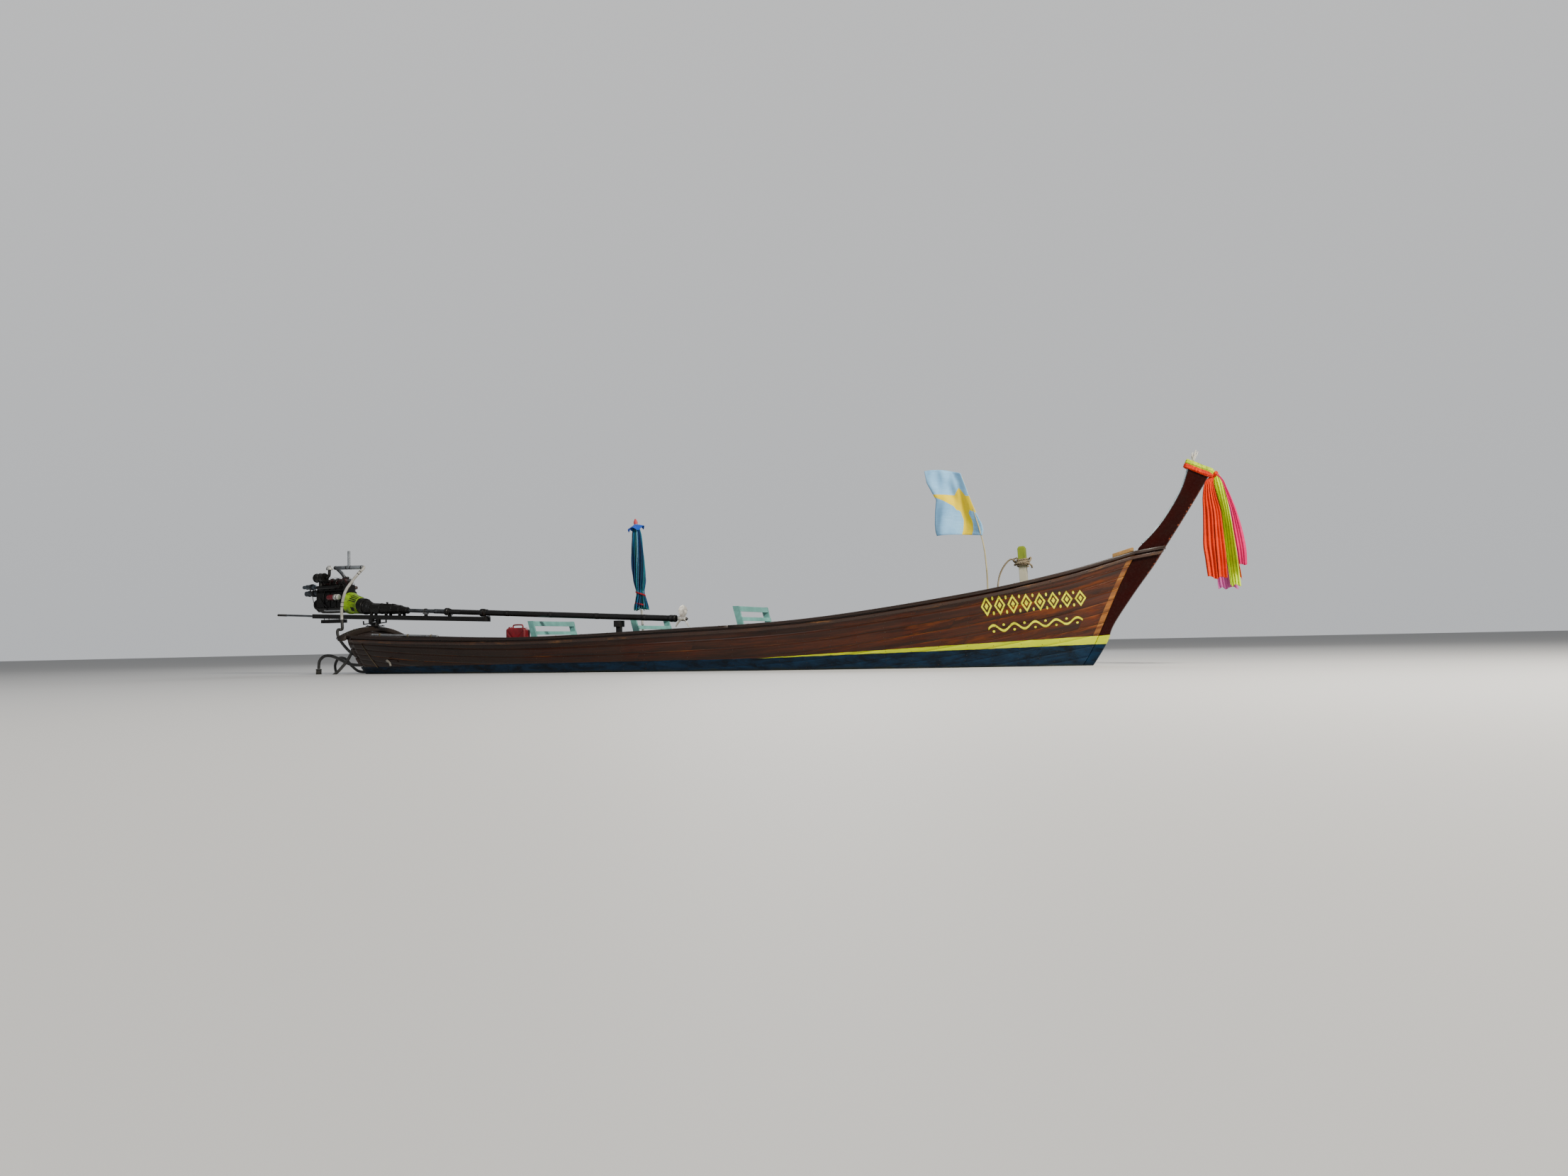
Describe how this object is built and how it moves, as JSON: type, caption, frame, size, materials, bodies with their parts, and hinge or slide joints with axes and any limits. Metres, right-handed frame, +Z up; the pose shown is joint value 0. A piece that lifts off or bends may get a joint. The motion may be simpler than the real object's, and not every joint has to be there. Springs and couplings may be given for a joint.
{
  "type": "longtail boat",
  "caption": "Open planked wooden longtail boat with a tall raked prow board, slatted benches and a swivelling, tilting engine on a long propeller shaft",
  "frame": {"origin": "on the centreline at the waterline, midway along the hull's waterline", "axes": "+X toward the bow, +Y to port, +Z up"},
  "size_m": [15.2557, 2.078, 3.075],
  "materials": {
    "varnished_planks": "varnished, worn",
    "rail_wood": "oiled, worn",
    "dark_wood": "dark red varnish",
    "bare_wood": "weathered",
    "turquoise_paint": "turquoise paint",
    "yellow_green_paint": "yellow-green paint",
    "rope": "laid rope",
    "orange_cloth": "thin cloth",
    "green_cloth": "thin cloth",
    "pink_cloth": "thin cloth",
    "blue_cloth": "light blue with a yellow cross",
    "teal_cloth": "panels of teal, blue and green",
    "red_plastic": "moulded",
    "white_tube": "plastic pipe",
    "hose_rubber": "ribbed hose",
    "black_steel": "black paint, rusted at the edges",
    "grey_steel": "galvanised",
    "engine_iron": "oily cast iron",
    "bell_paint": "bright yellow-green",
    "propeller_metal": "worn off-white"
  },
  "bodies": {
    "hull": {"planking_port": "varnished_planks", "planking_starboard": "varnished_planks", "keel": "dark_wood", "transom": "varnished_planks", "stern_crossbeam": "dark_wood", "prow_board": "dark_wood", "gunwale_port_aft": "rail_wood", "gunwale_port_fore": "rail_wood", "gunwale_starboard_aft": "rail_wood", "gunwale_starboard_fore": "rail_wood", "rub_rail_port": "rail_wood", "rub_rail_starboard": "rail_wood", "frames": "dark_wood", "floorboards": "bare_wood", "foredeck": "varnished_planks", "stern_deck": "bare_wood", "bench_aft": "turquoise_paint", "bench_middle": "turquoise_paint", "bench_forward": "turquoise_paint", "bitt": "yellow_green_paint", "bitt_rope": "rope", "bitt_tail": "rope", "breasthook": "bare_wood", "flag_pole": "bare_wood", "flag": "blue_cloth", "parasol_pole": "white_tube", "parasol_canopy": "teal_cloth", "can_crate": "bare_wood", "fuel_can": "red_plastic", "tail_rest": "black_steel", "pole_on_gunwale": "white_tube", "bilge_outlet": "white_tube", "water_hose": "hose_rubber", "hose_bracket": "black_steel", "suction_hose": "hose_rubber", "strainer": "white_tube", "drain_hose": "hose_rubber", "cooling_hose": "hose_rubber", "sash_band": "orange_cloth", "sash_orange": "orange_cloth", "sash_green": "green_cloth", "sash_pink": "pink_cloth", "swivel_base": "black_steel"},
    "swivel": {"swivel_fork": "black_steel"},
    "tail": {"tilt_frame": "black_steel", "engine_block": "engine_iron", "cylinder_head": "engine_iron", "engine_pulleys": "black_steel", "battery_box": "black_steel", "oil_filter": "red_plastic", "intake_manifold": "black_steel", "exhaust": "grey_steel", "bell_housing": "bell_paint", "gearbox": "engine_iron", "shaft_sleeve": "grey_steel", "shaft_coupling": "black_steel", "tail_tube": "black_steel", "tiller": "grey_steel", "cooling_pipe": "white_tube"},
    "propeller": {"propeller": "propeller_metal"}
  },
  "joints": [
    {"name": "swivel", "type": "hinge", "parent": "hull", "child": "swivel", "pos_m": [-5.64, 0, 0.742], "axis": [0.0779, -0.0093, -0.9969], "range_deg": [0, 231]},
    {"name": "tilt", "type": "hinge", "parent": "swivel", "child": "tail", "pos_m": [-5.64, 0, 0.835], "axis": [-0.1184, -0.993, 0], "range_deg": [0, 18]},
    {"name": "propeller_spin", "type": "hinge", "parent": "tail", "child": "propeller", "pos_m": [0.21254, -0.69786, 0.70611], "axis": [0.9916, -0.1182, -0.0523], "continuous": true}
  ]
}
